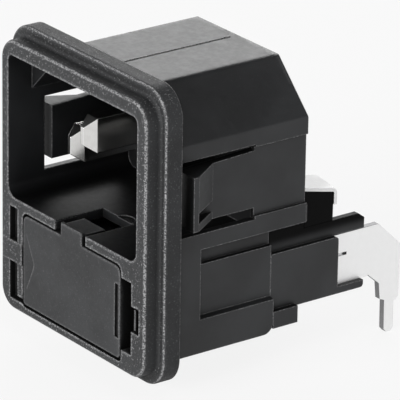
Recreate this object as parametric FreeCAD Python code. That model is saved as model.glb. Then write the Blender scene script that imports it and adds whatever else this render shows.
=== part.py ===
import FreeCAD, Part
import math
import os
from FreeCAD import Vector

# Panel-mounted C14 inlet socket with a two-pole fuse drawer. All sizes in millimetres.
# X runs across the panel, Y runs back through it and Z is up. The flange's rear face is y = 0.

# Clearances
RUN = 0.05           # between sliding flat faces
GAP = 0.10           # parting gap at the left of the drawer front
GAP_WIDE = 0.30      # the same at its other sides, where the frame leaves more room
SPRING_GAP = 0.15    # between a spring leaf and the fuse cap it bears on
OVER = 1.0           # how far a cutting tool passes beyond the material

# Flange and collar
FLANGE_X = 14.7
FLANGE_TOP = 16.8
FLANGE_BOTTOM = -17.85
FLANGE_T = 2.2
FLANGE_R = 3.5
FLANGE_EDGE_R = 0.4
COLLAR_X = 13.8
COLLAR_TOP = 15.5
COLLAR_BOTTOM = -16.6
COLLAR_FRONT = -4.22
COLLAR_R = 2.5
COLLAR_ROOT_R = 0.45
COLLAR_EDGE_R = 0.6

# Inlet mouth and recess
OPEN_X = 12.25
OPEN_TOP = 13.8
OPEN_BOTTOM = -3.0
MOUTH_R = 1.3
MOUTH_TOP_R = 0.8
MOUTH_DEPTH = -1.0    # where the chamfered recess starts behind the square mouth
RECESS_CHAMFER = 4.75
RECESS_FLOOR = 12.3   # front face of the recess's rear wall
RECESS_WALL = 2.0
DIMPLE = (1.0, 2.1, 1.35, 0.12)   # ejector mark on the recess floor: x, y, radius, depth

# Body behind the flange
BODY_X = 13.14
BODY_TOP = 15.1
BODY_CHAMFER = 5.6
BODY_REAR = 18.2
BODY_EDGE_R = 0.45
LOWER_BOTTOM = -15.15
LOWER_REAR = 13.93
LOWER_CORNER_R = 1.3
SHELF_TOP = -1.6      # floor of the rear cavity
SHELF_UNDER = -2.9
SHELF_REAR = 18.8
SHELF_CORNER_R = 0.9
BAND_TOP = -1.0       # side band under the tongue window
PARTING_LINE = (0.12, 0.06)   # width and height of the mould line on top

# Snap tongues, one in each side wall
WINDOW_TOP = 7.75
WINDOW_REAR = 11.1
WINDOW_SLANT = 0.7
TONGUE_IN = 11.85
TONGUE_OUT = 12.82
TONGUE_FRONT = 1.4
TONGUE_TOP = 7.05
TONGUE_DROP = 0.5      # how much lower its top is at the free end
TONGUE_BOTTOM = 0.25
HOOK_OUT = 15.0
HOOK_FLAT = 0.7
HOOK_REAR = 5.5
HOOK_POCKET = (1.15, 2.35)        # z limits of the cored pocket in the hook's slope
SIDE_PANEL = (-0.6, 7.5)          # z limits of the sunk panel behind the tongue

# Pocket in each side of the lower body
POCKET_X = 12.5
POCKET_FRONT = 3.85
POCKET_BOTTOM = -11.15
POCKET_SLOPE = 0.25
POCKET_GROOVE = (12.0, -4.9)      # deeper groove along its top: x and lower limit

# Fuse drawer bay
BAY_X = 11.5
BAY_TOP = -4.1
BAY_BOTTOM = -14.05
NOTCH = (-3.05, 2.8, 2.3)         # gap in the lip for the pull tab: x limits, rear end
LEFT_POCKET = (-11.9, -10.4, -3.45)     # sunk strip left of the drawer front: x limits and floor
LEFT_POCKET_Z = (-15.2, -14.6, -4.1)    # its bottom, where it widens to the drawer front, and top
BRIDGE = (-10.65, -8.1, 0.12)     # pad across the left pocket: z limits, raised height
RIGHT_SLOT = (-14.0, -5.5)        # z limits of the open slot right of the drawer front
LATCH_NOTCH = (12.85, -11.2, -8.2, -0.4)   # side notch: outer x, z limits, rear end

# Drawer
PLATE_X = 9.3
PLATE_TOP = BAY_TOP - GAP_WIDE
PLATE_BOTTOM = -15.2
PLATE_T = 2.02
PLATE_R = 0.9
PLATE_FOOT_R = 0.5
PLATE_EDGE_R = 0.15
TAB_X = 2.0
TAB_TOP = -2.9
TAB_RIM = 0.4
TAB_SHELF = -3.15
TAB_DEPTH = 3.2
THUMB_MARK = ((-8.7, -6.5), (-7.5, -9.1), (-7.25, -9.85), (-7.5, -10.6), (-8.65, -13.2))   # x and z
THUMB_DEPTH = 0.32
SIDE_GROOVE = (8.4, 9.05, -12.8, -6.5, 0.3)
TRAY_X = 9.2
TRAY_FLOOR_T = 0.9
TRAY_RIB_X = 1.2
TRAY_RIB_TOP = -6.0
TRAY_WALL = (8.4, 0.8, 12.0)      # low outer wall: inner x, height, rear end
RUNNER_T = 1.0
RUNNER_REAR = 13.0
BULKHEAD_TOP = -5.0
STOP_HALF = 2.2
STOP_H = 2.0
STOP_T = 0.9
LATCH_BAR = (11.85, 12.15, -10.9, -8.5)   # latch arm's outer bar: x and z limits
LATCH_T = 0.6
LATCH_FRONT = -4.1

# Fuses, 5 x 20 mm cartridges
FUSE_X = 5.4
FUSE_Z = -8.0
FUSE_FRONT = -0.9
FUSE_LENGTH = 20.0
FUSE_REAR = FUSE_FRONT + FUSE_LENGTH
CAP_R = 2.6
CAP_LENGTH = 5.2
CAP_END = 0.3
TUBE_R = 2.45
TUBE_BORE = 1.95
WIRE_R = 0.09

# Contact blades
BLADE_X = 7.0
BLADE_Z = 3.6
EARTH_Z = 7.6
BLADE_TIP = 0.4
EARTH_TIP = -2.8
BLADE_W = 2.0
BLADE_H = 4.0
BLADE_TAPER = 1.4
BLADE_END_W = 0.5
BLADE_END_H = 2.0
BLADE_TAIL = 17.6
RETAINER_T = 1.5

# Spring clips
LEAF_T = 0.3
FRONT_LEAF_Z = (-9.4, -6.6)
FRONT_LEAF_Y = (9.2, 7.2, 5.2, 3.4, 2.2, 0.9)       # depths of the leaf's bends, from its root forward
FRONT_LEAF_FLARE = 1.0                # how far the free end stands off again
FORK_T = 0.4
FORK_REACH = 4.6                      # length of the fingers along the rear cap
FORK_BEHIND = 1.5                     # from the fuse's rear to the fork's plate
FORK_Z = (-10.3, -6.5)
RISER_X = (6.6, 7.6)
RISER_CLEAR = 1.35                    # from the fork's plate to the carrier's rear wall

# Rear carrier
CARRIER_X = POCKET_X
CARRIER_BOTTOM = -12.95
CARRIER_SIDE_TOP = -6.05
CARRIER_FLOOR_T = 0.85
CARRIER_REAR_T = 1.05
CARRIER_REAR = FUSE_REAR + FORK_BEHIND + FORK_T + RISER_CLEAR + CARRIER_REAR_T
CARRIER_CORNER_R = 0.45
CARRIER_BLOCK_X = 11.95
CARRIER_BLOCK_TOP = -4.2
CAVITY_X = 11.0       # half width of the cavity above the terminals
CAVITY_TOP = -5.0
FOOT = (9.4, 13.14, 17.35, -14.7, 0.25)  # x limits, rear end, bottom, rise above the carrier's bottom
POST = (6.4, 11.9, 18.9, CARRIER_REAR - 0.45)   # x and y limits
POST_LEAN = 0.04
UPPER_WING = (0.8, 4.0, 0.8)            # thickness, length, cut corner
LOWER_WING = (9.5, 3.65, 0.4)           # inner x, length, corner radius

# Link strips over the posts
LINK_T = 0.38
LINK_X = (6.9, 12.0)
LINK_EDGE = (CARRIER_REAR - 0.5, -0.35)      # y and z of the top edge where the strip turns down, at the outer side
LINK_SLOPE = 13.0
LINK_SET_BACK = 1.5               # how much further back the inner side turns down
LINK_BEND_R = 0.25
LINK_LIP_END = -2.3
LINK_LEG = (5.0, 5.9)             # inner x and top of the leg on the blade tail

# Board terminals
TERMINAL_OUT = CARRIER_BLOCK_X
TERMINAL_T = 0.8
TERMINAL_TOP = -6.1
TERMINAL_JOG = (14.6, 16.6, 0.45)  # start and end of the inward bend, and its depth
TERMINAL_FRONT = 0.8
TERMINAL_TAB = ((6.1, -6.1), (8.9, -8.8), (9.25, -9.2), (9.25, -15.55), (8.9, -15.95), (8.6, -16.0),
                (8.6, -19.25), (8.25, -19.65), (7.65, -19.65), (7.3, -19.25), (7.25, -15.65),
                (6.6, -15.4), (6.4, -13.4), (4.8, -12.0))   # from the carrier's rear, and z
TERMINAL_HEEL = 4.2               # from the carrier's rear to where the lower edge meets its floor
TERMINAL_SLIT = (1.6, -8.75, -8.4)       # length and z limits of the slit at the carrier

# Earth strip
EARTH_T = 0.8
EARTH_HALF = 1.5
EARTH_LEG_HALF = 2.2
EARTH_LEG_TOP = 10.4
EARTH_RUN_Z = -1.0
EARTH_PIN = (0.65, -15.55, -19.65)  # half width, shoulder and tip


def box(x, y, z):
    """Block between pairs of limits."""
    return Part.makeBox(x[1] - x[0], y[1] - y[0], z[1] - z[0], Vector(x[0], y[0], z[0]))


def prism(points, plane, limits):
    """Polygon drawn in the xy, xz or yz plane, swept between two limits along the third axis."""
    start, end = limits
    place = {"xy": lambda a, b: Vector(a, b, start),
             "xz": lambda a, b: Vector(a, start, b),
             "yz": lambda a, b: Vector(start, a, b)}[plane]
    along = {"xy": Vector(0, 0, 1), "xz": Vector(0, 1, 0), "yz": Vector(1, 0, 0)}[plane]
    corners = [place(a, b) for a, b in points]
    return Part.Face(Part.makePolygon(corners + corners[:1])).extrude(along * (end - start))


def mirrored(shape):
    """The same shape on the other side of the middle plane."""
    return shape.mirror(Vector(0, 0, 0), Vector(1, 0, 0))


def both_sides(shape):
    """A shape and its mirror image as one tool."""
    return shape.fuse(mirrored(shape))


def near(a, b):
    """True where two lengths agree."""
    return abs(a - b) < 1e-4


def fillet(shape, radius, test):
    """Round the edges whose bounding box passes a test."""
    return shape.makeFillet(radius, [edge for edge in shape.Edges if test(edge.BoundBox)])


def along_y(bounds):
    """True for an edge that runs straight back."""
    return near(bounds.XLength, 0) and near(bounds.ZLength, 0) and bounds.YLength > 0.1


def rounded_slab(x, y, z, radius, top_radius=None):
    """Upright slab between limits, its corners rounded as seen from the front."""
    slab = box(x, y, z)
    middle = (z[0] + z[1]) / 2
    slab = fillet(slab, radius, lambda b: along_y(b) and b.ZMin < middle)
    return fillet(slab, top_radius or radius, lambda b: along_y(b) and b.ZMin > middle)


def bezel():
    """Flange with the raised collar in front of it."""
    flange = rounded_slab((-FLANGE_X, FLANGE_X), (-FLANGE_T, 0), (FLANGE_BOTTOM, FLANGE_TOP), FLANGE_R)
    flange = fillet(flange, FLANGE_EDGE_R, lambda b: near(b.YMax, -FLANGE_T))
    collar = rounded_slab((-COLLAR_X, COLLAR_X), (COLLAR_FRONT, -FLANGE_T / 2),
                          (COLLAR_BOTTOM, COLLAR_TOP), COLLAR_R)
    collar = fillet(collar, COLLAR_EDGE_R, lambda b: near(b.YMax, COLLAR_FRONT))
    whole = flange.fuse(collar).removeSplitter()
    return fillet(whole, COLLAR_ROOT_R,
                  lambda b: near(b.YMax, -FLANGE_T) and near(b.YMin, -FLANGE_T)
                  and b.XMax < COLLAR_X + 0.01 and b.XMin > -COLLAR_X - 0.01)


def chamfered_outline(half, top, bottom, leg):
    """Outline of the inlet shape: a rectangle with its two top corners cut at 45 degrees."""
    return [(-half, bottom), (half, bottom), (half, top - leg), (half - leg, top),
            (leg - half, top), (-half, top - leg)]


def body():
    """Outer block behind the flange, before it is hollowed."""
    upper = prism(chamfered_outline(BODY_X, BODY_TOP, SHELF_UNDER, BODY_CHAMFER), "xz", (-OVER, BODY_REAR))
    upper = fillet(upper, BODY_EDGE_R, lambda b: along_y(b) and b.ZMin > 0)
    lower = box((-BODY_X, BODY_X), (-OVER, LOWER_REAR), (LOWER_BOTTOM, SHELF_UNDER))
    lower = fillet(lower, LOWER_CORNER_R, lambda b: near(b.YMin, LOWER_REAR) and near(b.ZMax, LOWER_BOTTOM))
    shelf = box((-BODY_X, BODY_X), (-OVER, SHELF_REAR), (SHELF_UNDER, BAND_TOP))
    shelf = fillet(shelf, SHELF_CORNER_R, lambda b: near(b.YMin, SHELF_REAR) and b.ZLength > 0.1)
    width, height = PARTING_LINE
    line = box((-width / 2, width / 2), (0, BODY_REAR - OVER), (BODY_TOP - OVER, BODY_TOP + height))
    return upper.fuse([lower, shelf, line])


def recess():
    """Space the connector enters, with the square mouth in front of the chamfered socket."""
    mouth = rounded_slab((-OPEN_X, OPEN_X), (COLLAR_FRONT - OVER, MOUTH_DEPTH), (OPEN_BOTTOM, OPEN_TOP),
                         MOUTH_R, MOUTH_TOP_R)
    socket = prism(chamfered_outline(OPEN_X, OPEN_TOP, OPEN_BOTTOM, RECESS_CHAMFER), "xz",
                   (MOUTH_DEPTH - OVER, RECESS_FLOOR))
    socket = fillet(socket, MOUTH_R, lambda b: along_y(b) and near(b.ZMin, OPEN_BOTTOM))
    x, y, radius, depth = DIMPLE
    dimple = Part.makeCylinder(radius, depth + OVER, Vector(x, y, OPEN_BOTTOM - depth))
    return mouth.fuse([socket, dimple])


def rear_cavity(front, clearance=0.0):
    """Space behind the recess wall for the blade tails, from a front face to beyond the rear."""
    outline = chamfered_outline(OPEN_X - clearance, OPEN_TOP - clearance, SHELF_TOP + clearance, RECESS_CHAMFER)
    return prism(outline, "xz", (front, SHELF_REAR + OVER))


def drawer_bay():
    """Opening for the drawer front, the bay behind it and the cuts round the front."""
    front = COLLAR_FRONT - OVER
    plate_back = COLLAR_FRONT + PLATE_T
    plate = rounded_slab((-PLATE_X - GAP, PLATE_X + GAP_WIDE), (front, plate_back + OVER),
                         (PLATE_BOTTOM - GAP_WIDE, BAY_TOP), PLATE_FOOT_R, PLATE_R)
    plate = plate.cut(box((-BAY_X, BAY_X), (plate_back, plate_back + OVER), (PLATE_BOTTOM - OVER, BAY_BOTTOM)))
    hollow = box((-BAY_X, BAY_X), (plate_back, LOWER_REAR + OVER), (BAY_BOTTOM, BAY_TOP))
    notch = box(NOTCH[:2], (front, NOTCH[2]), (BAY_TOP - OVER, OPEN_BOTTOM + OVER))
    slot = box((PLATE_X, BAY_X - RUN), (front, plate_back + OVER), RIGHT_SLOT)
    outer, low, high, rear = LATCH_NOTCH
    latch = box((BAY_X - OVER, outer), (front, rear), (low, high))
    return hollow.fuse([plate, notch, slot, latch, left_pocket()])


def left_pocket():
    """Sunk strip beside the drawer front, wider at its foot."""
    outer, inner, floor = LEFT_POCKET
    bottom, widening, top = LEFT_POCKET_Z
    depth = (COLLAR_FRONT - OVER, floor)
    foot = box((outer, -PLATE_X - GAP / 2), depth, (bottom, widening))
    return box((outer, inner), depth, (bottom, top)).fuse(foot).cut(box((outer, inner), depth, BRIDGE[:2]))


def bridge_pad():
    """Slightly raised pad across the left pocket."""
    low, high, raised = BRIDGE
    pad = box((-COLLAR_X + COLLAR_EDGE_R, -PLATE_X - GAP), (COLLAR_FRONT - raised, LEFT_POCKET[2]), (low, high))
    return fillet(pad, raised, lambda b: near(b.YMax, COLLAR_FRONT - raised) and b.XLength > 1)


def tongue_window():
    """Opening in the right side wall round the snap tongue."""
    outline = [(TONGUE_IN - 0.1, WINDOW_SLANT), (OPEN_X, WINDOW_SLANT), (BODY_X, 0), (BODY_X + OVER, 0),
               (BODY_X + OVER, WINDOW_REAR), (TONGUE_IN - 0.1, WINDOW_REAR)]
    return prism(outline, "xy", (BAND_TOP, WINDOW_TOP))


def snap_tongue():
    """Right snap tongue, rooted at its rear, with a ramped hook near its free front end."""
    ridge = TONGUE_FRONT + HOOK_FLAT
    plan = prism([(TONGUE_IN, TONGUE_FRONT), (HOOK_OUT, TONGUE_FRONT), (HOOK_OUT, ridge), (TONGUE_OUT, HOOK_REAR),
                  (TONGUE_OUT, RECESS_FLOOR), (TONGUE_IN, RECESS_FLOOR)], "xy", (TONGUE_BOTTOM, TONGUE_TOP))
    side = prism([(TONGUE_FRONT, TONGUE_BOTTOM), (RECESS_FLOOR, TONGUE_BOTTOM), (RECESS_FLOOR, TONGUE_TOP),
                  (TONGUE_FRONT, TONGUE_TOP - TONGUE_DROP)], "yz", (TONGUE_IN, HOOK_OUT))
    pocket = box((TONGUE_OUT, HOOK_OUT + OVER), (ridge, HOOK_REAR), HOOK_POCKET)
    return plan.common(side).cut(pocket)


def side_pocket():
    """Sunk area in the right side of the lower body, open to the rear, with a groove along its top."""
    outline = [(POCKET_X, SHELF_UNDER), (POCKET_X, POCKET_BOTTOM + POCKET_SLOPE),
               (BODY_X, POCKET_BOTTOM), (BODY_X + OVER, POCKET_BOTTOM), (BODY_X + OVER, SHELF_UNDER)]
    depth = (POCKET_FRONT, LOWER_REAR + OVER)
    groove_x, groove_bottom = POCKET_GROOVE
    return prism(outline, "xz", depth).fuse(box((groove_x, BODY_X), depth, (groove_bottom, SHELF_UNDER)))


def side_panel():
    """Shallow sunk panel flush with the tongue behind it, open to the rear."""
    return box((TONGUE_OUT, BODY_X + OVER), (WINDOW_REAR, BODY_REAR + OVER), SIDE_PANEL)


def blade_section(x, z, limits):
    """Full section of a blade between two depths."""
    return box((x - BLADE_W / 2, x + BLADE_W / 2), limits, (z - BLADE_H / 2, z + BLADE_H / 2))


def blade_slots(limits):
    """The three blade sections between two depths."""
    line = blade_section(-BLADE_X, BLADE_Z, limits)
    return line.fuse([mirrored(line), blade_section(0, EARTH_Z, limits)])


def housing():
    """The main moulding."""
    wall = (RECESS_FLOOR - OVER, RECESS_FLOOR + RECESS_WALL + OVER)
    shell = bezel().fuse(body()).removeSplitter()
    cuts = [recess(), rear_cavity(RECESS_FLOOR + RECESS_WALL), drawer_bay(), both_sides(tongue_window()),
            both_sides(side_pocket()), both_sides(side_panel()), blade_slots(wall)]
    shell = shell.cut(cuts)
    return shell.fuse([both_sides(snap_tongue()), bridge_pad()]).removeSplitter()


def blade(x, z, tip):
    """Contact blade with a four-sided taper at its tip."""
    full = tip + BLADE_TAPER

    def section(y, width, height):
        half_w, half_h = width / 2, height / 2
        corners = [Vector(x + a * half_w, y, z + b * half_h) for a, b in ((-1, -1), (1, -1), (1, 1), (-1, 1))]
        return Part.makePolygon(corners + corners[:1])

    taper = Part.makeLoft([section(tip, BLADE_END_W, BLADE_END_H), section(full, BLADE_W, BLADE_H)], True, True)
    return taper.fuse(blade_section(x, z, (full, BLADE_TAIL))).removeSplitter()


def blade_retainer():
    """Plate that closes the rear cavity round the blade tails."""
    front = RECESS_FLOOR + RECESS_WALL
    plate = rear_cavity(front, RUN).common(box((-BODY_X, BODY_X), (front, front + RETAINER_T), (SHELF_UNDER, BODY_TOP)))
    return plate.cut(blade_slots((front - OVER, front + RETAINER_T + OVER)))


def link_top(y):
    """Height of a link strip's upper face at a depth."""
    return LINK_EDGE[1] + (LINK_EDGE[0] - y) * math.tan(math.radians(LINK_SLOPE))


def neutral_link():
    """Bent strip from the neutral blade's tail over the right post, its end turned down on a skew."""
    start = RECESS_FLOOR + RECESS_WALL + RETAINER_T
    inner, outer = LINK_X
    edge, _ = LINK_EDGE
    rear = edge + LINK_SET_BACK
    plan = prism([(inner, start), (outer, start), (outer, edge), (inner, rear)], "xy",
                 (link_top(rear) - OVER, link_top(start) + OVER))
    slab = prism([(start, link_top(start)), (rear, link_top(rear)), (rear, link_top(rear) - LINK_T),
                  (start, link_top(start) - LINK_T)], "yz", (inner, outer))
    leg = box((LINK_LEG[0], outer), (start, start + LINK_T), (link_top(start) - LINK_T, LINK_LEG[1]))
    leg = leg.cut(blade_section(BLADE_X, BLADE_Z, (start - OVER, start + OVER)))
    return plan.common(slab).fuse([leg, link_lip()]).removeSplitter()


def link_lip():
    """Turned-down end of the right link strip."""
    outer = LINK_X[1]
    angle = math.radians(LINK_SLOPE)
    big, small = LINK_BEND_R + LINK_T, LINK_BEND_R
    y0, z0 = LINK_EDGE[0] - big * math.sin(angle), LINK_EDGE[1] - big * math.cos(angle)

    def point(radius, turn):
        return Vector(outer, y0 + radius * math.sin(turn), z0 + radius * math.cos(turn))

    middle, right = (angle + math.pi / 2) / 2, math.pi / 2
    end = LINK_LIP_END
    edges = [Part.Arc(point(big, angle), point(big, middle), point(big, right)).toShape(),
             Part.makeLine(point(big, right), Vector(outer, y0 + big, end)),
             Part.makeLine(Vector(outer, y0 + big, end), Vector(outer, y0 + small, end)),
             Part.makeLine(Vector(outer, y0 + small, end), point(small, right)),
             Part.Arc(point(small, right), point(small, middle), point(small, angle)).toShape(),
             Part.makeLine(point(small, angle), point(big, angle))]
    width = outer - LINK_X[0]
    return Part.Face(Part.Wire(edges)).extrude(Vector(-width, LINK_SET_BACK, -LINK_SET_BACK * math.tan(angle)))


def post():
    """Right post under the link strip, leaning in slightly at its rear."""
    x0, x1, front, rear = POST
    base = CARRIER_BLOCK_TOP - OVER / 2
    skew = LINK_SET_BACK * (x1 - x0) / (LINK_X[1] - LINK_X[0])
    top = link_top(front - OVER)
    low = [Vector(x1, front, base), Vector(x1, rear - POST_LEAN, base),
           Vector(x0, rear - POST_LEAN + skew, base), Vector(x0, front, base)]
    high = [Vector(x1, front, top), Vector(x1, rear + POST_LEAN, top), Vector(x0, rear + POST_LEAN + skew, top),
            Vector(x0, front, top)]
    column = Part.makeLoft([Part.makePolygon(low + low[:1]), Part.makePolygon(high + high[:1])], True, True)
    return column.cut(under_link((x0, x1), (front, rear + skew)))


def under_link(x, y):
    """Cutting tool for all that lies above a link strip's lower face."""
    start, end = y[0] - OVER, y[1] + OVER
    top = link_top(start) + OVER
    return prism([(start, link_top(start) - LINK_T), (end, link_top(end) - LINK_T), (end, top), (start, top)],
                 "yz", (x[0] - OVER, x[1] + OVER))


def upper_wing():
    """Thin upright fin beside the right terminal."""
    thick, length, cut = UPPER_WING
    front, rear = CARRIER_REAR - OVER, CARRIER_REAR + length
    bottom, top = TERMINAL_TOP + RUN, CARRIER_BLOCK_TOP
    return prism([(front, bottom), (rear, bottom), (rear, top - cut * 0.75), (rear - cut, top), (front, top)],
                 "yz", (CARRIER_BLOCK_X - thick, CARRIER_BLOCK_X))


def lower_wing():
    """Floor extension under the right terminal."""
    inner, length, radius = LOWER_WING
    rear = CARRIER_REAR + length
    wing = box((inner, CARRIER_X), (CARRIER_REAR - OVER, rear), (CARRIER_BOTTOM, CARRIER_BOTTOM + CARRIER_FLOOR_T))
    return fillet(wing, radius, lambda b: near(b.YMin, rear) and near(b.ZMax, CARRIER_BOTTOM))


def carrier_cavity():
    """Space inside the carrier for the rear ends of the fuses and the contacts."""
    depth = (LOWER_REAR - OVER, CARRIER_REAR - CARRIER_REAR_T)
    wide = box((-TERMINAL_OUT, TERMINAL_OUT), depth, (CARRIER_BOTTOM + CARRIER_FLOOR_T, TERMINAL_TOP))
    tall = box((-CAVITY_X, CAVITY_X), depth, (TERMINAL_TOP, CAVITY_TOP))
    return wide.fuse(tall)


def terminal_section(limits):
    """Section of the right terminal's sheet between two depths."""
    return box((TERMINAL_OUT - TERMINAL_T, TERMINAL_OUT), limits, (CARRIER_BOTTOM + CARRIER_FLOOR_T, TERMINAL_TOP))


def riser():
    """Upright tail of the right rear clip, from inside the carrier to the link strip."""
    y = (FUSE_REAR + FORK_BEHIND, FUSE_REAR + FORK_BEHIND + FORK_T)
    return box(RISER_X, y, (FORK_Z[1], link_top(y[0]))).cut(under_link(RISER_X, y))


def rear_carrier():
    """Moulding behind the bay that holds the contacts, with posts, wings and feet."""
    y = (LOWER_REAR, CARRIER_REAR)
    shell = box((-CARRIER_X, CARRIER_X), y, (CARRIER_BOTTOM, CARRIER_SIDE_TOP))
    shell = fillet(shell, CARRIER_CORNER_R, lambda b: near(b.YMin, CARRIER_REAR) and near(b.ZMin, CARRIER_SIDE_TOP))
    block = box((-CARRIER_BLOCK_X, CARRIER_BLOCK_X), y, (CARRIER_SIDE_TOP - OVER, CARRIER_BLOCK_TOP))
    seat = box((-CARRIER_BLOCK_X, CARRIER_BLOCK_X), (LOWER_REAR, SHELF_REAR), (CARRIER_BLOCK_TOP, SHELF_UNDER))
    inner, outer, rear, bottom, rise = FOOT
    foot = box((inner, outer), (LOWER_REAR, rear), (bottom, CARRIER_BOTTOM + rise))
    side = post().fuse([upper_wing(), lower_wing(), foot])
    slots = terminal_section((CARRIER_REAR - CARRIER_REAR_T - OVER, CARRIER_REAR + OVER)).fuse(riser())
    whole = shell.fuse([block, seat, both_sides(side)]).removeSplitter()
    return whole.cut([carrier_cavity(), both_sides(slots)])


def neutral_terminal():
    """Flat terminal with a board pin, jogged inward to run along the bay wall to the front clip."""
    jog_front, jog_rear, jog = TERMINAL_JOG
    bottom = CARRIER_BOTTOM + CARRIER_FLOOR_T
    outer, inner = TERMINAL_OUT, TERMINAL_OUT - TERMINAL_T
    tail = [(CARRIER_REAR + y, z) for y, z in TERMINAL_TAB + ((TERMINAL_HEEL, bottom),)]
    tab = prism([(jog_rear, TERMINAL_TOP)] + tail + [(jog_rear, bottom)], "yz", (inner, outer))
    length, low, high = TERMINAL_SLIT
    tab = tab.cut(box((inner - OVER, outer + OVER), (CARRIER_REAR, CARRIER_REAR + length), (low, high)))
    run = prism([(outer, jog_rear), (outer - jog, jog_front), (outer - jog, TERMINAL_FRONT),
                 (inner - jog, TERMINAL_FRONT), (inner - jog, jog_front), (inner, jog_rear)],
                "xy", (bottom, TERMINAL_TOP))
    return tab.fuse(run).removeSplitter()


def leaf_strip(path, thickness, limits):
    """Bent strip of even thickness along a path of (y, x) points, between two heights."""
    left, right = [], []
    for i, (y, x) in enumerate(path):
        before, after = path[max(i - 1, 0)], path[min(i + 1, len(path) - 1)]
        dy, dx = after[0] - before[0], after[1] - before[1]
        half = thickness / 2 / math.hypot(dy, dx)
        left.append((x + dy * half, y - dx * half))
        right.append((x - dy * half, y + dx * half))
    return prism(left + right[::-1], "xy", limits)


def neutral_front_clip():
    """Spring leaf from the terminal that bears on the front fuse cap."""
    root = TERMINAL_OUT - TERMINAL_JOG[2] - TERMINAL_T - LEAF_T / 2
    bearing = FUSE_X + CAP_R + SPRING_GAP + LEAF_T / 2
    middle = (root + bearing) / 2
    path = list(zip(FRONT_LEAF_Y, (root, root, middle, bearing, bearing, bearing + FRONT_LEAF_FLARE)))
    return leaf_strip(path, LEAF_T, FRONT_LEAF_Z)


def neutral_rear_clip():
    """Fork round the rear fuse cap, with a riser to the link strip."""
    back, inner = FUSE_REAR + FORK_BEHIND, CAP_R + SPRING_GAP
    reach = inner + FORK_T
    fingers = [box((FUSE_X + a, FUSE_X + b), (FUSE_REAR - FORK_REACH, back + FORK_T), FORK_Z)
               for a, b in ((-reach, -inner), (inner, reach))]
    plate = box((FUSE_X - reach, FUSE_X + reach), (back, back + FORK_T), FORK_Z)
    return plate.fuse(fingers + [riser()]).removeSplitter()


def earth_strip():
    """Strip down the back of the retainer, over the carrier and down to the board pin."""
    start = RECESS_FLOOR + RECESS_WALL + RETAINER_T
    half, shoulder, tip = EARTH_PIN
    x = (-EARTH_HALF, EARTH_HALF)
    top, rear = EARTH_RUN_Z + EARTH_T, CARRIER_REAR + EARTH_T
    leg = box((-EARTH_LEG_HALF, EARTH_LEG_HALF), (start, start + EARTH_T), (EARTH_RUN_Z, EARTH_LEG_TOP))
    leg = leg.cut(blade_section(0, EARTH_Z, (start - OVER, start + OVER)))
    run = box(x, (start, rear), (EARTH_RUN_Z, top))
    drop = box(x, (CARRIER_REAR, rear), (shoulder, top))
    pin = prism([(-half, shoulder), (-half, tip + half / 2), (-half / 2, tip), (half / 2, tip),
                 (half, tip + half / 2), (half, shoulder)], "xz", (CARRIER_REAR, rear))
    whole = leg.fuse([run, drop, pin]).removeSplitter()
    return fillet(whole, EARTH_T, lambda b: near(b.YMin, rear) and near(b.ZMax, top) and b.XLength > 1)


def drawer_front():
    """Front plate with the pull tab, thumb mark and side groove."""
    y = (COLLAR_FRONT, COLLAR_FRONT + PLATE_T)
    plate = rounded_slab((-PLATE_X, PLATE_X), y, (PLATE_BOTTOM, PLATE_TOP), PLATE_FOOT_R, PLATE_R)
    tab = box((-TAB_X, TAB_X), (COLLAR_FRONT, COLLAR_FRONT + TAB_RIM), (PLATE_TOP - OVER, TAB_TOP))
    shelf = box((-TAB_X, TAB_X), (COLLAR_FRONT, COLLAR_FRONT + TAB_DEPTH), (PLATE_TOP - OVER, TAB_SHELF))
    front = plate.fuse([tab, shelf]).removeSplitter()
    front = fillet(front, PLATE_EDGE_R, lambda b: near(b.YMax, COLLAR_FRONT))
    thumb = prism(THUMB_MARK, "xz", (COLLAR_FRONT - OVER, COLLAR_FRONT))
    (x0, z0), (x1, _), (x2, z2) = THUMB_MARK[0], THUMB_MARK[2], THUMB_MARK[-1]
    tilt = math.degrees(math.atan2(THUMB_DEPTH, x1 - x0))
    thumb.rotate(Vector(x0, COLLAR_FRONT, z0), Vector(x2 - x0, 0, z2 - z0), -tilt)
    x0, x1, z0, z1, depth = SIDE_GROOVE
    groove = box((x0, x1), (COLLAR_FRONT - OVER, COLLAR_FRONT + depth), (z0, z1))
    return front.cut([thumb, groove])


def latch_arm():
    """Arm from the tray to the bar that shows in the frame's side notch."""
    x0, x1, low, high = LATCH_BAR
    rear = FUSE_FRONT
    arm = box((TRAY_X - OVER, x1), (rear - LATCH_T, rear), (low, high))
    return arm.fuse(box((x0, x1), (LATCH_FRONT, rear), (low, high)))


def fuse_drawer():
    """The sliding moulding: front plate, bulkhead, tray and latch arm."""
    back = COLLAR_FRONT + PLATE_T
    floor_top = FUSE_Z - CAP_R
    floor_under = floor_top - TRAY_FLOOR_T
    tray_rear = FUSE_REAR + STOP_T
    x = (-TRAY_X, TRAY_X)
    floor = box(x, (back, tray_rear), (floor_under, floor_top))
    bulkhead = box(x, (back, FUSE_FRONT), (floor_under, BULKHEAD_TOP))
    rib = box((-TRAY_RIB_X, TRAY_RIB_X), (back, FUSE_REAR - OVER), (floor_top, TRAY_RIB_TOP))
    wall_x, wall_h, wall_rear = TRAY_WALL
    wall = box((wall_x, TRAY_X), (FUSE_FRONT, wall_rear), (floor_top, floor_top + wall_h))
    runner = box((TRAY_X - RUNNER_T, TRAY_X), (back, RUNNER_REAR), (BAY_BOTTOM + RUN, floor_under))
    stop = box((FUSE_X - STOP_HALF, FUSE_X + STOP_HALF), (FUSE_REAR, tray_rear), (floor_top, floor_top + STOP_H))
    side = wall.fuse([runner, stop])
    return drawer_front().fuse([floor, bulkhead, rib, latch_arm(), both_sides(side)]).removeSplitter()


def fuse_cylinder(radius, start, end):
    """Round bar on the right fuse's axis."""
    return Part.makeCylinder(radius, end - start, Vector(FUSE_X, start, FUSE_Z), Vector(0, 1, 0))


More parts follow.
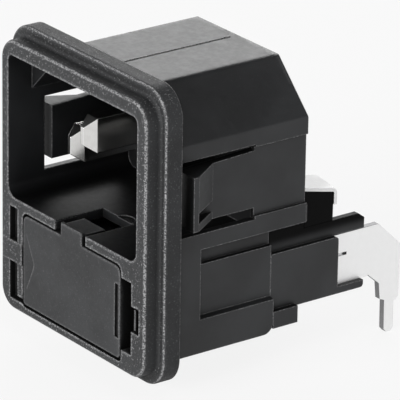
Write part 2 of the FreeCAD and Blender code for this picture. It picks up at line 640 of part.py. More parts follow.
def fuse_pieces():
    """The right fuse: glass tube, two end caps and the wire between them."""
    front, rear = FUSE_FRONT, FUSE_REAR
    inside = (front + CAP_END, rear - CAP_END)
    tube = fuse_cylinder(TUBE_R, *inside).cut(fuse_cylinder(TUBE_BORE, front, rear))
    core = fuse_cylinder(TUBE_R, *inside)
    front_cap = fuse_cylinder(CAP_R, front, front + CAP_LENGTH).cut(core)
    rear_cap = fuse_cylinder(CAP_R, rear - CAP_LENGTH, rear).cut(core)
    return {"fuse_tube": tube, "fuse_front_cap": front_cap, "fuse_rear_cap": rear_cap,
            "fuse_wire": fuse_cylinder(WIRE_R, *inside)}


def all_parts():
    """Every node by name. The line side is the neutral side mirrored."""
    right = {"blade": blade(BLADE_X, BLADE_Z, BLADE_TIP), "link": neutral_link(),
             "terminal": neutral_terminal(), "front_clip": neutral_front_clip(),
             "rear_clip": neutral_rear_clip()}
    right.update(fuse_pieces())
    parts = {"housing": housing(), "rear_carrier": rear_carrier(), "blade_retainer": blade_retainer(),
             "earth_blade": blade(0, EARTH_Z, EARTH_TIP), "earth_strip": earth_strip(),
             "fuse_drawer": fuse_drawer()}
    for name, shape in right.items():
        parts["neutral_" + name] = shape
        parts["line_" + name] = mirrored(shape)
    return parts


os.makedirs("parts", exist_ok=True)
for node, shape in all_parts().items():
    print(node, shape.isValid(), len(shape.Solids), round(shape.Volume, 2))
    shape.exportStep("parts/" + node + ".step")
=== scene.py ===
"""Studio scene of a panel inlet socket with a fuse drawer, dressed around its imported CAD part."""

import logging
import math
from dataclasses import dataclass, field
from enum import Enum
from typing import Iterable, Optional

import bpy
from mathutils import Matrix, Vector


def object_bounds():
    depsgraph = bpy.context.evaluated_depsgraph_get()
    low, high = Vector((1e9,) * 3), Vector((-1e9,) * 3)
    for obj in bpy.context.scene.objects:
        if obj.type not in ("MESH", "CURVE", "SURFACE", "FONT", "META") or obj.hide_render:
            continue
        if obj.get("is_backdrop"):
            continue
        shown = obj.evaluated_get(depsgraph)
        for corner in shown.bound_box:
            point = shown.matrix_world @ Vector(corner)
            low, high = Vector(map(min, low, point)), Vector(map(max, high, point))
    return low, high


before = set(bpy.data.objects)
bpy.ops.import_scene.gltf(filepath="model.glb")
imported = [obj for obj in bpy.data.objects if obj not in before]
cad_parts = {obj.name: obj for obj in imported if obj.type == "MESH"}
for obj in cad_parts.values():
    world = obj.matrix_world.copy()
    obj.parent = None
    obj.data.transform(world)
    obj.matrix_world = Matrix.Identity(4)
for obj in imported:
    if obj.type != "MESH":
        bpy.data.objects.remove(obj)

LOG = logging.getLogger("inlet_socket")
MM = 0.001
Colour = tuple[float, float, float]
Socket = bpy.types.NodeSocket
Limits = tuple[float, float]
GroupParts = tuple[bpy.types.NodeTree, "NodeSheet", bpy.types.Node, bpy.types.Node]
WHITE: Colour = (1.0, 1.0, 1.0)


class Finish(Enum):
    """The finishes that the socket's pieces can take."""

    HOUSING = "housing_black"
    DRAWER = "drawer_black"
    CARRIER = "carrier_black"
    RETAINER = "retainer_black"
    CONTACT = "contact_metal"
    STRIP = "strip_metal"
    TERMINAL = "terminal_metal"
    SPRING = "spring_metal"
    FUSE_CAP = "fuse_cap"
    FUSE_GLASS = "fuse_glass"
    FUSE_WIRE = "fuse_wire"


class NodeSheet:
    """A node tree being filled in, with short ways to add and join nodes."""

    def __init__(self, tree: bpy.types.NodeTree) -> None:
        """Start on a tree.

        Args:
            tree: the node tree to fill in.
        """
        self.tree = tree
        self.column = 0

    def add(self, kind: str, inputs: Optional[dict] = None, **settings: object) -> bpy.types.Node:
        """Add a node, set its properties and fill or link its inputs.

        Args:
            kind: the node's type name.
            inputs: values or output sockets by input name or index.
            settings: properties of the node.

        Returns:
            The new node.
        """
        node = self.tree.nodes.new(kind)
        node.location = (self.column * 200, -(len(self.tree.nodes) % 5) * 220)
        self.column += 1
        for name, value in settings.items():
            setattr(node, name, value)
        for name, value in (inputs or {}).items():
            self.feed(node.inputs[name], value)
        return node

    def feed(self, socket: bpy.types.NodeSocket, value: object) -> None:
        """Link an output to a socket, or set the socket's value."""
        if isinstance(value, bpy.types.NodeSocket):
            self.tree.links.new(value, socket)
        else:
            socket.default_value = value

    def group(self, tree: bpy.types.NodeTree, **inputs: object) -> bpy.types.Node:
        """Add a shared node group and fill or link its inputs."""
        return self.add("ShaderNodeGroup", inputs, node_tree=tree)

    def apart(self, coordinates: str) -> dict[str, Socket]:
        """Give one of the texture coordinates as its separate X, Y and Z sockets."""
        whole = self.add("ShaderNodeTexCoord").outputs[coordinates]
        node = self.add("ShaderNodeSeparateXYZ", {0: whole})
        return {axis: node.outputs[axis] for axis in "XYZ"}

    def math(self, operation: str, first: object, second: object = 0.0, clamp: bool = False) -> Socket:
        """Combine two values and return the result's socket."""
        node = self.add("ShaderNodeMath", {0: first, 1: second}, operation=operation, use_clamp=clamp)
        return node.outputs[0]

    def times(self, first: object, *others: object) -> Socket:
        """Multiply two or more values, such as masks that must all hold."""
        for other in others:
            first = self.math("MULTIPLY", first, other)
        return first

    def greatest(self, first: object, *others: object) -> Socket:
        """Give the greatest of the values, such as masks of which one must hold."""
        for other in others:
            first = self.math("MAXIMUM", first, other)
        return first

    def over(self, value: object, limit: float) -> Socket:
        """Mask where a value is over a limit."""
        return self.math("GREATER_THAN", value, limit)

    def under(self, value: object, limit: float) -> Socket:
        """Mask where a value is under a limit."""
        return self.math("LESS_THAN", value, limit)

    def unsigned(self, value: object) -> Socket:
        """Give a value without its sign."""
        return self.math("ABSOLUTE", value)

    def noise(self, place: Socket, scale: object, detail: float = 2.0, roughness: float = 0.5) -> Socket:
        """Give a noise pattern's value.

        Args:
            place: the coordinates.
            scale: how fine the pattern is.
            detail: how many finer layers it has.
            roughness: how strong they are.

        Returns:
            The pattern's socket.
        """
        return self.add("ShaderNodeTexNoise", {"Vector": place, "Scale": scale, "Detail": detail,
                                               "Roughness": roughness}).outputs["Fac"]

    def relief(self, height: Socket, strength: float, depth: float, normal: Optional[Socket] = None) -> Socket:
        """Turn a height into a normal, on top of another normal if one is given.

        Args:
            height: the height's socket.
            strength: how much of the relief shows.
            depth: the relief's depth in metres.
            normal: the normal that it rests on.

        Returns:
            The normal's socket.
        """
        inputs = {"Height": height, "Strength": strength, "Distance": depth}
        if normal:
            inputs["Normal"] = normal
        return self.add("ShaderNodeBump", inputs).outputs["Normal"]

    def occlusion(self, distance: object, **settings: bool) -> Socket:
        """Say how free a place is of surfaces within a distance."""
        node = self.add("ShaderNodeAmbientOcclusion", {"Distance": distance}, samples=8, **settings)
        return node.outputs["AO"]

    def ramp(self, value: object, low: float, high: float, start: float = 0.0, end: float = 1.0) -> Socket:
        """Map a value smoothly from one range to another.

        Args:
            value: the value to map.
            low: where the change starts.
            high: where it ends.
            start: the result at or below low.
            end: the result at or above high.

        Returns:
            The mapped value's socket.
        """
        node = self.add("ShaderNodeMapRange", {"Value": value, "From Min": low, "From Max": high,
                                               "To Min": start, "To Max": end}, interpolation_type="SMOOTHSTEP")
        return node.outputs["Result"]

    def between(self, mask: object, start: float, end: float) -> Socket:
        """Give a value that goes from start where a mask is 0 to end where it is 1."""
        return self.ramp(mask, 0.0, 1.0, start, end)

    def mix(self, share: object, first: object, second: object) -> Socket:
        """Mix two colours and return the result's socket."""
        node = self.add("ShaderNodeMix", data_type="RGBA")
        for index, value in ((0, share), (6, first), (7, second)):
            self.feed(node.inputs[index], value)
        return node.outputs[2]


def rgba(colour: Colour) -> tuple[float, float, float, float]:
    """Give a colour its alpha."""
    return (*colour, 1.0)


def new_group(name: str, inputs: Iterable[tuple[str, str, object]],
              outputs: Iterable[tuple[str, str]]) -> GroupParts:
    """Make an empty shader node group with named sockets.

    Args:
        name: the group's name.
        inputs: name, socket type and default of each input.
        outputs: name and socket type of each output.

    Returns:
        The tree, its sheet, and its input and output nodes.
    """
    tree = bpy.data.node_groups.new(name, "ShaderNodeTree")
    for label, kind, default in inputs:
        socket = tree.interface.new_socket(label, in_out="INPUT", socket_type=kind)
        socket.default_value = default
    for label, kind in outputs:
        tree.interface.new_socket(label, in_out="OUTPUT", socket_type=kind)
    sheet = NodeSheet(tree)
    return tree, sheet, sheet.add("NodeGroupInput"), sheet.add("NodeGroupOutput")


@dataclass
class SharedEffects:
    """The node groups that several finishes use, and the limits of their masks."""

    cell_share: float = 0.45
    speck_limits: Limits = (0.60, 0.72)
    turn_limits: Limits = (0.999, 0.90)
    brow_limits: Limits = (0.93, 0.70)
    near_limits: Limits = (0.3, 0.93)
    far_limits: Limits = (0.2, 0.9)
    broad_limits: Limits = (0.35, 0.65)
    fine_limits: Limits = (0.3, 0.7)
    fineness: float = 9.0
    grain: bpy.types.NodeTree = field(init=False)
    rims: bpy.types.NodeTree = field(init=False)
    clouding: bpy.types.NodeTree = field(init=False)
    crevices: bpy.types.NodeTree = field(init=False)

    def __post_init__(self) -> None:
        """Build each group once."""
        self.crevices = self._crevices()
        self.grain = self._moulded_grain()
        self.rims = self._rim_wear_and_highlight()
        self.clouding = self._clouding()

    def _moulded_grain(self) -> bpy.types.NodeTree:
        """Fine spark-eroded grain: a height, and a mask of its bright specks."""
        tree, sheet, given, result = new_group(
            "moulded_grain",
            [("Size", "NodeSocketFloat", 4000.0), ("Specks", "NodeSocketFloat", 0.2)],
            [("Height", "NodeSocketFloat"), ("Specks", "NodeSocketFloat")])
        place = sheet.add("ShaderNodeTexCoord").outputs["Object"]
        size = given.outputs["Size"]
        fine = sheet.noise(place, size, detail=3.0, roughness=0.6)
        cells = sheet.add("ShaderNodeTexVoronoi", {"Vector": place, "Scale": size}).outputs["Distance"]
        sheet.feed(result.inputs["Height"], sheet.math("ADD", fine, sheet.times(cells, self.cell_share)))
        sparse = sheet.ramp(fine, *self.speck_limits)
        sheet.feed(result.inputs["Specks"], sheet.math("MULTIPLY", sparse, given.outputs["Specks"], clamp=True))
        return tree

    def _rim_wear_and_highlight(self) -> bpy.types.NodeTree:
        """Softly rounded edges: the rounded normal, a thin mask of each turn and a broad one of outer edges."""
        tree, sheet, given, result = new_group(
            "rim_wear_and_highlight", [("Radius", "NodeSocketFloat", 0.2 * MM), ("Band", "NodeSocketFloat", 0.4 * MM)],
            [("Normal", "NodeSocketVector"), ("Edge", "NodeSocketFloat"), ("Brow", "NodeSocketFloat")])
        rounded = sheet.add("ShaderNodeBevel", {"Radius": given.outputs["Radius"]}, samples=6).outputs["Normal"]
        flat = sheet.add("ShaderNodeNewGeometry").outputs["Normal"]
        along = sheet.add("ShaderNodeVectorMath", {0: rounded, 1: flat}, operation="DOT_PRODUCT")
        within = sheet.occlusion(given.outputs["Band"], inside=True, only_local=True)
        sheet.feed(result.inputs["Normal"], rounded)
        sheet.feed(result.inputs["Edge"], sheet.ramp(along.outputs["Value"], *self.turn_limits))
        sheet.feed(result.inputs["Brow"], sheet.ramp(within, *self.brow_limits))
        return tree

    def _crevices(self) -> bpy.types.NodeTree:
        """How far a place lies open, from 0 deep in a gap to 1 on an outer face; the plastic paints shade into
        its colour with it.
        """
        tree, sheet, given, result = new_group(
            "crevices", [("Reach", "NodeSocketFloat", 4 * MM), ("Hollow", "NodeSocketFloat", 14 * MM)],
            [("Open", "NodeSocketFloat")])
        near = sheet.occlusion(given.outputs["Reach"])
        far = sheet.occlusion(given.outputs["Hollow"], only_local=True)
        both = sheet.times(sheet.ramp(near, *self.near_limits), sheet.ramp(far, *self.far_limits))
        sheet.feed(result.inputs["Open"], both)
        return tree

    def _clouding(self) -> bpy.types.NodeTree:
        """Slow changes over a surface, as plating and moulding leave: two soft masks."""
        tree, sheet, given, result = new_group(
            "clouding", [("Size", "NodeSocketFloat", 150.0)],
            [("Broad", "NodeSocketFloat"), ("Fine", "NodeSocketFloat")])
        place = sheet.add("ShaderNodeTexCoord").outputs["Object"]
        broad = sheet.noise(place, given.outputs["Size"], detail=2.0)
        fine_size = sheet.times(given.outputs["Size"], self.fineness)
        fine = sheet.noise(place, fine_size, detail=4.0, roughness=0.65)
        sheet.feed(result.inputs["Broad"], sheet.ramp(broad, *self.broad_limits))
        sheet.feed(result.inputs["Fine"], sheet.ramp(fine, *self.fine_limits))
        return tree


def blank_material(name: str) -> tuple[bpy.types.Material, NodeSheet, bpy.types.Node]:
    """Make a material that holds only its shader and output.

    Args:
        name: the material's name.

    Returns:
        The material, its node sheet and its Principled shader.
    """
    material = bpy.data.materials.new(name)
    material.use_nodes = True
    material.node_tree.nodes.clear()
    sheet = NodeSheet(material.node_tree)
    output = sheet.add("ShaderNodeOutputMaterial")
    shader = sheet.add("ShaderNodeBsdfPrincipled")
    sheet.feed(output.inputs["Surface"], shader.outputs["BSDF"])
    return material, sheet, shader


@dataclass(frozen=True)
class Mouth:
    """The inlet's mouth: square in front, slanted at its upper corners behind, and inside these limits."""

    half_width: float = 12.3 * MM
    bottom: float = -3.15 * MM
    top: float = 13.95 * MM
    front: float = -4.1 * MM
    square_until: float = -0.8 * MM
    slant: float = 22.0 * MM

    def mask(self, sheet: NodeSheet, place: dict[str, Socket]) -> Socket:
        """Mask the space inside the mouth.

        Args:
            sheet: the material's node sheet.
            place: the object coordinates.

        Returns:
            The mask's socket.
        """
        aside = sheet.unsigned(place["X"])
        within = sheet.times(sheet.under(aside, self.half_width), sheet.over(place["Z"], self.bottom),
                             sheet.under(place["Z"], self.top), sheet.over(place["Y"], self.front))
        under_slant = sheet.under(sheet.math("ADD", aside, place["Z"]), self.slant)
        return sheet.times(within, sheet.greatest(under_slant, sheet.under(place["Y"], self.square_until)))


@dataclass(frozen=True)
class EdgeWearAndHighlight:
    """Bright, broken edges, partly worn and partly a painted highlight: a thin line at each turn, and more on
    the outer edges of the front.
    """

    colour: Colour = (0.62, 0.62, 0.63)
    radius: float = 0.2 * MM
    faint: float = 0.10
    strong: float = 0.8
    grain_limits: Limits = (0.62, 0.84)
    thin_line: float = 0.5
    sharp_edges: float = 0.4
    round_edges: float = 0.55
    ahead_of: float = -1.2 * MM
    turning: Limits = (0.35, 0.6)
    turned: Limits = (0.93, 0.8)
    hollow_root: Limits = (-2.7 * MM, 0.47 * MM)

    def rounding(self, sheet: NodeSheet, place: dict[str, Socket], facing: dict[str, Socket]) -> Socket:
        """Mask the middle of the front's rounded edges, where a highlight is painted, leaving out the collar's
        hollow root.

        Args:
            sheet: the material's node sheet.
            place: the object coordinates.
            facing: the surface's direction.

        Returns:
            The mask's socket.
        """
        forward = sheet.unsigned(facing["Y"])
        centre, reach = self.hollow_root
        off_root = sheet.over(sheet.unsigned(sheet.math("SUBTRACT", place["Y"], centre)), reach)
        return sheet.times(sheet.ramp(forward, *self.turning), sheet.ramp(forward, *self.turned), off_root)

    def share(self, sheet: NodeSheet, surface: "PlasticSurface") -> Socket:
        """Say how much of the colour is worn edge and painted highlight.

        Args:
            sheet: the material's node sheet.
            surface: what is known of the moulding's surface.

        Returns:
            The share's socket.
        """
        rounding = self.rounding(sheet, surface.place, surface.facing)
        # Painted highlights on the front's sharp and rounded outer edges, broken like worn edges.
        outer = sheet.greatest(sheet.times(surface.rims.outputs["Brow"], self.sharp_edges),
                               sheet.times(rounding, self.round_edges))
        outer = sheet.times(outer, surface.grained, sheet.under(surface.place["Y"], self.ahead_of))
        line = sheet.times(surface.rims.outputs["Edge"], sheet.between(surface.shoulder, self.thin_line, 0.0))
        broken = sheet.ramp(surface.grain.outputs["Height"], *self.grain_limits, self.faint, self.strong)
        return sheet.times(sheet.greatest(line, outer), broken)


@dataclass(frozen=True)
class PlasticSurface:
    """What a moulding's colour, gloss and relief depend on: coordinates, masks and group nodes."""

    place: dict[str, Socket]
    facing: dict[str, Socket]
    inside: Socket
    floor: Socket
    grained: Socket
    sideways: Socket
    shoulder: Socket
    openness: Socket
    grain: bpy.types.Node
    clouds: bpy.types.Node
    rims: bpy.types.Node


@dataclass(frozen=True)
class MouldedPlastic:
    """Black moulded thermoplastic: grained towards the front, smoother behind and in the mouth."""

    colour: Colour = (0.0095, 0.0100, 0.0112)
    pale: Colour = (0.0175, 0.0185, 0.0202)
    speck: Colour = (0.66, 0.66, 0.67)
    # Near-black colour of the painted shade in crevices, hollows, the mouth's floor and a shaded top.
    painted_shade_colour: Colour = (0.002, 0.002, 0.002)
    ior: float = 1.56
    roughness: float = 0.42
    grained_roughness: float = 0.6
    uneven_roughness: float = 0.07
    grain_size: float = 5600.0
    grain_depth: float = 0.09 * MM
    grain_strength: float = 0.5
    plain_share: float = 0.06
    front_limits: Limits = (0.1 * MM, -0.1 * MM)
    specks: float = 0.5
    wear_and_highlight: EdgeWearAndHighlight = EdgeWearAndHighlight()
    mouth: Mouth = Mouth()
    # Painted shade in the mouth: its floor darkened and less reflective, its walls kept partly unshaded.
    mouth_floor_shade: float = 0.3
    mouth_floor_gloss: float = 0.28
    mouth_light: float = 0.4
    gloss: float = 0.5
    hidden_gloss: float = 0.25
    sideways_limits: Limits = (0.6, 0.95)
    side_specks: float = 0.3
    side_gloss: float = 0.76
    seam_from: float = 14.9 * MM
    seam_half: float = 2.0 * MM
    shoulder_from: float = 12.5 * MM
    shoulder_radius: float = 0.9 * MM
    painted_shade_top_from: float = 1000.0 * MM    # higher than any moulding: shade is painted on the top only where a recipe says so
    painted_shade_top_within: float = 1.8 * MM
    painted_shade_top_gloss: float = 0.12

    def build(self, name: str, effects: SharedEffects) -> bpy.types.Material:
        """Make the plastic's material.

        Args:
            name: the material's name.
            effects: the shared node groups.

        Returns:
            The finished material.
        """
        material, sheet, shader = blank_material(name)
        surface = self._surface(sheet, effects)
        # Painted shade over the top above a given height, darkened and less reflective.
        painted_shade_top = sheet.ramp(surface.place["Z"], self.painted_shade_top_from, self.painted_shade_top_from + self.painted_shade_top_within)
        rough = sheet.between(surface.grained, self.roughness, self.grained_roughness)
        rough = sheet.math("ADD", rough, sheet.times(surface.clouds.outputs["Fine"], self.uneven_roughness))
        height = sheet.times(surface.grain.outputs["Height"], surface.grained)
        bump = sheet.relief(height, self.grain_strength, self.grain_depth, surface.rims.outputs["Normal"])
        for socket, value in (("Base Color", self._colour(sheet, surface, painted_shade_top)), ("Roughness", rough),
                              ("Normal", bump), ("IOR", self.ior),
                              ("Specular IOR Level", self._gloss(sheet, surface, painted_shade_top))):
            sheet.feed(shader.inputs[socket], value)
        return material

    def _surface(self, sheet: NodeSheet, effects: SharedEffects) -> PlasticSurface:
        """Set out what the material's steps share.

        Args:
            sheet: the material's node sheet.
            effects: the shared node groups.

        Returns:
            The surface's coordinates, masks and group nodes.
        """
        place, facing = sheet.apart("Object"), sheet.apart("Normal")
        behind_front = sheet.over(place["Y"], self.front_limits[0])
        shoulder = sheet.times(sheet.over(place["Z"], self.shoulder_from), behind_front,
                               sheet.over(sheet.unsigned(place["X"]), self.seam_half))
        inside = self.mouth.mask(sheet, place)
        grained = sheet.times(sheet.ramp(place["Y"], *self.front_limits, self.plain_share, 1.0),
                              sheet.math("SUBTRACT", 1.0, inside))
        on_top = sheet.times(sheet.over(place["Z"], self.seam_from), behind_front)
        # Openness for the painted shade: the top and the mouth's walls are kept partly or fully out of it.
        openness = sheet.greatest(sheet.group(effects.crevices).outputs["Open"], on_top,
                                  sheet.times(inside, self.mouth_light))
        rounding = sheet.between(shoulder, self.wear_and_highlight.radius, self.shoulder_radius)
        return PlasticSurface(
            place=place, facing=facing, inside=inside, grained=grained, shoulder=shoulder, openness=openness,
            floor=sheet.times(inside, sheet.greatest(facing["Z"], 0.0)),
            sideways=sheet.ramp(sheet.unsigned(facing["X"]), *self.sideways_limits),
            grain=sheet.group(effects.grain, Size=self.grain_size, Specks=self.specks),
            clouds=sheet.group(effects.clouding), rims=sheet.group(effects.rims, Radius=rounding))

    def _colour(self, sheet: NodeSheet, surface: PlasticSurface, painted_shade_top: Socket) -> Socket:
        """Colour the plastic: clouds, then specks, worn edges with painted highlights, then painted shade in
        hollows, on the mouth's floor and on the shaded top.

        Args:
            sheet: the material's node sheet.
            surface: what is known of the moulding's surface.
            painted_shade_top: the mask of the top where shade is painted.

        Returns:
            The colour's socket.
        """
        specks = sheet.times(surface.grain.outputs["Specks"], surface.grained,
                             sheet.between(surface.sideways, 1.0, self.side_specks))
        # Painted shade: crevices, hollows and the mouth's floor are darkened towards the shade colour.
        lit = sheet.times(surface.openness, sheet.between(surface.floor, 1.0, self.mouth_floor_shade))
        colour = sheet.mix(surface.clouds.outputs["Broad"], rgba(self.colour), rgba(self.pale))
        colour = sheet.mix(specks, colour, rgba(self.speck))
        # Worn edges with painted highlights.
        colour = sheet.mix(self.wear_and_highlight.share(sheet, surface), colour, rgba(self.wear_and_highlight.colour))
        colour = sheet.mix(lit, rgba(self.painted_shade_colour), colour)
        return sheet.mix(painted_shade_top, colour, rgba(self.painted_shade_colour))

    def _gloss(self, sheet: NodeSheet, surface: PlasticSurface, painted_shade_top: Socket) -> Socket:
        """Say how strongly the plastic reflects: less in hollows, on the sides and on the top where shade is
        painted.

        Args:
            sheet: the material's node sheet.
            surface: what is known of the moulding's surface.
            painted_shade_top: the mask of the top where shade is painted.

        Returns:
            The reflection level's socket.
        """
        return sheet.times(sheet.between(surface.openness, self.hidden_gloss, self.gloss),
                           sheet.between(surface.floor, 1.0, self.mouth_floor_gloss),
                           sheet.between(surface.sideways, 1.0, self.side_gloss),
                           sheet.between(painted_shade_top, 1.0, self.painted_shade_top_gloss))


@dataclass(frozen=True)
class PlatedMetal:
    """Stamped and plated sheet: fine rolling lines, soft clouding, painted highlights on the rims and darker
    sheared edges.
    """

    colour: Colour = (0.80, 0.80, 0.80)
    dull: Colour = (0.66, 0.66, 0.665)
    rim_highlight: Colour = (0.97, 0.97, 0.97)
    dull_share: float = 0.5
    roughness: float = 0.34
    uneven_roughness: float = 0.1
    line_stretch: tuple[float, float, float] = (2600.0, 90.0, 2600.0)
    line_depth: float = 0.004 * MM
    line_strength: float = 0.4
    edge_radius: float = 0.12 * MM
    sheet_axis: Optional[str] = None
    face_limit: float = 0.7
    sheared: Colour = (0.30, 0.30, 0.305)

    def build(self, name: str, effects: SharedEffects) -> bpy.types.Material:
        """Make the metal's material.

        Args:
            name: the material's name.
            effects: the shared node groups.

        Returns:
            The finished material.
        """
        material, sheet, shader = blank_material(name)
        place = sheet.add("ShaderNodeTexCoord").outputs["Object"]
        stretched = sheet.add("ShaderNodeMapping", {"Vector": place, "Scale": self.line_stretch})
        lines = sheet.noise(stretched.outputs[0], 1.0, detail=3.0)
        clouds = sheet.group(effects.clouding)
        rims = sheet.group(effects.rims, Radius=self.edge_radius)
        dulled = sheet.times(clouds.outputs["Fine"], self.dull_share)
        base = sheet.mix(dulled, rgba(self.colour), rgba(self.dull))
        # Painted highlight along the metal's rims.
        base = sheet.mix(rims.outputs["Edge"], base, rgba(self.rim_highlight))
        if self.sheet_axis:
            across = sheet.unsigned(sheet.apart("Normal")[self.sheet_axis])
            base = sheet.mix(sheet.under(across, self.face_limit), base, rgba(self.sheared))
        rough = sheet.between(clouds.outputs["Broad"], self.roughness, self.roughness + self.uneven_roughness)
        bump = sheet.relief(lines, self.line_strength, self.line_depth, rims.outputs["Normal"])
        for socket, value in (("Base Color", base), ("Roughness", rough), ("Normal", bump), ("Metallic", 1.0)):
            sheet.feed(shader.inputs[socket], value)
        return material


@dataclass(frozen=True)
class FuseGlass:
    """Clear drawn glass of a fuse tube, with faint streaks along it."""

    colour: Colour = (0.93, 0.97, 0.96)
    tint: Colour = (0.90, 0.95, 0.94)
    ior: float = 1.5
    roughness: float = 0.03
    uneven_roughness: float = 0.04
    streaks: tuple[float, float, float] = (900.0, 40.0, 900.0)
    streak_depth: float = 0.01 * MM
    streak_strength: float = 0.15

    def build(self, name: str, effects: SharedEffects) -> bpy.types.Material:
        """Make the glass's material.

        Args:
            name: the material's name.
            effects: the shared node groups.

        Returns:
            The finished material.
        """
        material, sheet, shader = blank_material(name)
        place = sheet.add("ShaderNodeTexCoord").outputs["Object"]
        stretched = sheet.add("ShaderNodeMapping", {"Vector": place, "Scale": self.streaks})
        lines = sheet.noise(stretched.outputs[0], 1.0)
        clouds = sheet.group(effects.clouding)
        rough = sheet.between(clouds.outputs["Broad"], self.roughness, self.roughness + self.uneven_roughness)
        bump = sheet.relief(lines, self.streak_strength, self.streak_depth)
        tint = sheet.mix(clouds.outputs["Fine"], rgba(self.colour), rgba(self.tint))
        for socket, value in (("Base Color", tint), ("Roughness", rough), ("Normal", bump),
                              ("IOR", self.ior), ("Transmission Weight", 1.0)):
            sheet.feed(shader.inputs[socket], value)
        return material


@dataclass
class FinishBook:
    """Every finish's material, made once."""

    effects: SharedEffects = field(default_factory=SharedEffects)
    materials: dict[Finish, bpy.types.Material] = field(default_factory=dict)

    def __post_init__(self) -> None:
        """Build each material."""
        recipes = {
            Finish.HOUSING: MouldedPlastic(),
            Finish.DRAWER: MouldedPlastic(specks=0.07, grain_depth=0.018 * MM, wear_and_highlight=EdgeWearAndHighlight(strong=0.35)),
            # The carrier's block, post and wing above -6.2 mm get painted shade.
            Finish.CARRIER: MouldedPlastic(plain_share=0.05, painted_shade_top_from=-6.2 * MM),
            Finish.RETAINER: MouldedPlastic(roughness=0.5),
            Finish.CONTACT: PlatedMetal(colour=(0.80, 0.795, 0.78), dull=(0.70, 0.69, 0.675), roughness=0.13),
            Finish.STRIP: PlatedMetal(colour=(0.84, 0.84, 0.84), dull=(0.79, 0.79, 0.79), roughness=0.66),
            Finish.TERMINAL: PlatedMetal(colour=(0.97, 0.97, 0.97), dull=(0.94, 0.94, 0.94), roughness=0.5,
                                         line_stretch=(2600.0, 2600.0, 90.0), sheet_axis="X"),
            Finish.SPRING: PlatedMetal(colour=(0.76, 0.72, 0.62), dull=(0.68, 0.63, 0.52)),
            Finish.FUSE_CAP: PlatedMetal(colour=(0.78, 0.78, 0.79), roughness=0.2, edge_radius=0.3 * MM),
            Finish.FUSE_GLASS: FuseGlass(),
            Finish.FUSE_WIRE: PlatedMetal(colour=(0.74, 0.72, 0.68), roughness=0.25),
        }
        for finish, recipe in recipes.items():
            self.materials[finish] = recipe.build(finish.value, self.effects)

    def dress(self, node: str, finish: Finish) -> None:
        """Give a CAD node its finish.

        Args:
            node: the CAD node's name.
            finish: the finish it takes.
        """
        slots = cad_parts[node].data.materials
        slots.clear()
        slots.append(self.materials[finish])
        LOG.info("%s takes %s", node, finish.value)


@dataclass
class Housing:
    """The main moulding with the plate that closes its rear."""

    shell: str = "housing"
    retainer: str = "blade_retainer"

    def dress(self, book: FinishBook) -> None:
        """Give both mouldings their black plastic."""
        book.dress(self.shell, Finish.HOUSING)
        book.dress(self.retainer, Finish.RETAINER)


@dataclass
class RearCarrier:
    """The moulding behind the fuse bay that holds the contacts."""

    shell: str = "rear_carrier"

    def dress(self, book: FinishBook) -> None:
        """Give the carrier its black plastic."""
        book.dress(self.shell, Finish.CARRIER)


@dataclass
class Contacts:
    """Blades, strips, terminals and spring clips."""

    poles: tuple[str, ...] = ("line", "neutral")
    earth: dict[str, Finish] = field(default_factory=lambda: {
        "earth_blade": Finish.CONTACT, "earth_strip": Finish.STRIP})
    each: dict[str, Finish] = field(default_factory=lambda: {
        "blade": Finish.CONTACT, "link": Finish.STRIP, "terminal": Finish.TERMINAL,
        "front_clip": Finish.SPRING, "rear_clip": Finish.SPRING})

    def dress(self, book: FinishBook) -> None:
        """Give every contact its plated metal."""
        for node, finish in self.earth.items():
            book.dress(node, finish)
        for pole in self.poles:
            for piece, finish in self.each.items():
                book.dress(f"{pole}_{piece}", finish)


@dataclass
class FuseDrawer:
    """The sliding drawer and the two cartridge fuses in it."""

    shell: str = "fuse_drawer"
    poles: tuple[str, ...] = ("line", "neutral")
    fuse: dict[str, Finish] = field(default_factory=lambda: {
        "fuse_tube": Finish.FUSE_GLASS, "fuse_front_cap": Finish.FUSE_CAP,
        "fuse_rear_cap": Finish.FUSE_CAP, "fuse_wire": Finish.FUSE_WIRE})

    def dress(self, book: FinishBook) -> None:
        """Give the drawer and its fuses their finishes."""
        book.dress(self.shell, Finish.DRAWER)
        for pole in self.poles:
            for piece, finish in self.fuse.items():
                book.dress(f"{pole}_{piece}", finish)


@dataclass(frozen=True)
class SoftBox:
    """A rectangular studio lamp aimed at the socket."""

    name: str
    place: tuple[float, float, float]
    size: tuple[float, float]
    power: float

    def hang(self, target: Vector) -> None:
        """Add the lamp.

        Args:
            target: the point it faces.
        """
        data = bpy.data.lights.new(self.name, "AREA")
        data.shape = "RECTANGLE"
        data.size, data.size_y = self.size
        data.energy = self.power
        lamp = bpy.data.objects.new(self.name, data)
        lamp.location = self.place
        lamp.rotation_euler = (target - Vector(self.place)).to_track_quat("-Z", "Y").to_euler()
        bpy.context.scene.collection.objects.link(lamp)


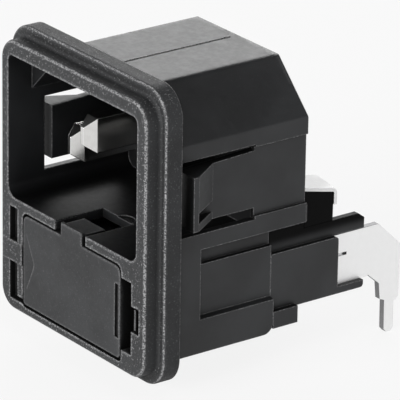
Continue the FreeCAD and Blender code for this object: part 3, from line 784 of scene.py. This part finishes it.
@dataclass
class Studio:
    """Pale floor, white surroundings and soft lamps."""

    floor_half: float = 3.0
    floor_colour: Colour = (0.86, 0.86, 0.86)
    floor_glow: float = 0.85
    floor_sheen: float = 0.55
    floor_roughness: float = 0.9
    ceiling: float = 0.07
    darkening: Limits = (0.42, 0.68)
    lamps: tuple[SoftBox, ...] = (
        SoftBox("key_front", (0.15, -1.00, 0.30), (0.6, 0.4), 8.2),
        SoftBox("fill_right", (0.50, -0.10, 1.00), (0.5, 0.5), 1.35),
        SoftBox("rear_rim", (-0.75, 0.75, 0.30), (0.9, 0.35), 4.0),
    )

    def build(self) -> None:
        """Lay the floor, light the world and hang the lamps."""
        low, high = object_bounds()
        self._floor(low[2])
        self._world()
        middle = (Vector(low) + Vector(high)) / 2
        for lamp in self.lamps:
            lamp.hang(middle)
        LOG.info("studio has %d lamps", len(self.lamps))

    def _floor(self, height: float) -> None:
        """Lay the floor under the socket.

        Args:
            height: the floor's height.
        """
        bpy.ops.object.select_all(action="DESELECT")
        bpy.ops.mesh.primitive_plane_add(size=2 * self.floor_half, location=(0, 0, height))
        floor = bpy.context.object
        floor.name = "studio_floor"
        material, sheet, shader = blank_material("floor_card")
        output = next(n for n in material.node_tree.nodes if n.bl_idname == "ShaderNodeOutputMaterial")
        sheet.feed(shader.inputs["Base Color"], rgba(self.floor_colour))
        sheet.feed(shader.inputs["Roughness"], self.floor_roughness)
        rays = sheet.add("ShaderNodeLightPath").outputs
        share = sheet.greatest(sheet.times(rays["Is Camera Ray"], self.floor_glow),
                               sheet.times(rays["Is Glossy Ray"], self.floor_sheen),
                               rays["Is Transmission Ray"])
        white = sheet.add("ShaderNodeEmission", {"Color": rgba(WHITE), "Strength": 1.0})
        both = sheet.add("ShaderNodeMixShader", {0: share, 1: shader.outputs["BSDF"], 2: white.outputs[0]})
        sheet.feed(output.inputs["Surface"], both.outputs[0])
        floor.data.materials.append(material)
        floor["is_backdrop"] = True

    def _world(self) -> None:
        """Surround the socket with white that darkens overhead, and plain white for the camera."""
        world = bpy.data.worlds.new("studio_world")
        bpy.context.scene.world = world
        world.use_nodes = True
        world.node_tree.nodes.clear()
        sheet = NodeSheet(world.node_tree)
        output = sheet.add("ShaderNodeOutputWorld")
        level = sheet.ramp(sheet.apart("Generated")["Z"], *self.darkening, 1.0, self.ceiling)
        path = sheet.add("ShaderNodeLightPath")
        strength = sheet.greatest(level, path.outputs["Is Camera Ray"])
        light = sheet.add("ShaderNodeBackground", {"Color": rgba(WHITE), "Strength": strength})
        sheet.feed(output.inputs["Surface"], light.outputs[0])


@dataclass(frozen=True)
class Viewpoint:
    """Where the camera stands, as angles round a point that it faces."""

    azimuth: float = 53.282
    elevation: float = 21.774
    roll: float = 0.903
    distance: float = 495.4 * MM
    lens: float = 401.91
    sensor: float = 36.0
    clip: Limits = (0.01, 20.0)
    aim: tuple[float, float, float] = (3.07 * MM, 11.09 * MM, -2.02 * MM)

    def place(self) -> None:
        """Create the camera and make it the scene's."""
        turn, tilt = math.radians(self.azimuth), math.radians(self.elevation)
        back = Vector((math.sin(turn) * math.cos(tilt), -math.cos(turn) * math.cos(tilt), math.sin(tilt)))
        level = Vector((math.cos(turn), math.sin(turn), 0))
        up = back.cross(level)
        lean = math.radians(self.roll)
        right = level * math.cos(lean) + up * math.sin(lean)
        upright = up * math.cos(lean) - level * math.sin(lean)
        data = bpy.data.cameras.new("studio_camera")
        data.lens, data.sensor_width = self.lens, self.sensor
        data.clip_start, data.clip_end = self.clip
        camera = bpy.data.objects.new("studio_camera", data)
        turn_to = Matrix((right, upright, back)).transposed()
        camera.matrix_world = Matrix.Translation(Vector(self.aim) + back * self.distance) @ turn_to.to_4x4()
        bpy.context.scene.collection.objects.link(camera)
        bpy.context.scene.camera = camera
        LOG.info("camera at %s", [round(v, 4) for v in camera.location])


def main() -> None:
    """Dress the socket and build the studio."""
    logging.basicConfig(level=logging.INFO, format="%(name)s: %(message)s")
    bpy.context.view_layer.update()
    Viewpoint().place()
    book = FinishBook()
    for assembly in (Housing(), RearCarrier(), Contacts(), FuseDrawer()):
        assembly.dress(book)
    Studio().build()
    bpy.context.scene.view_settings.view_transform = "Standard"


if __name__ == "__main__":
    main()
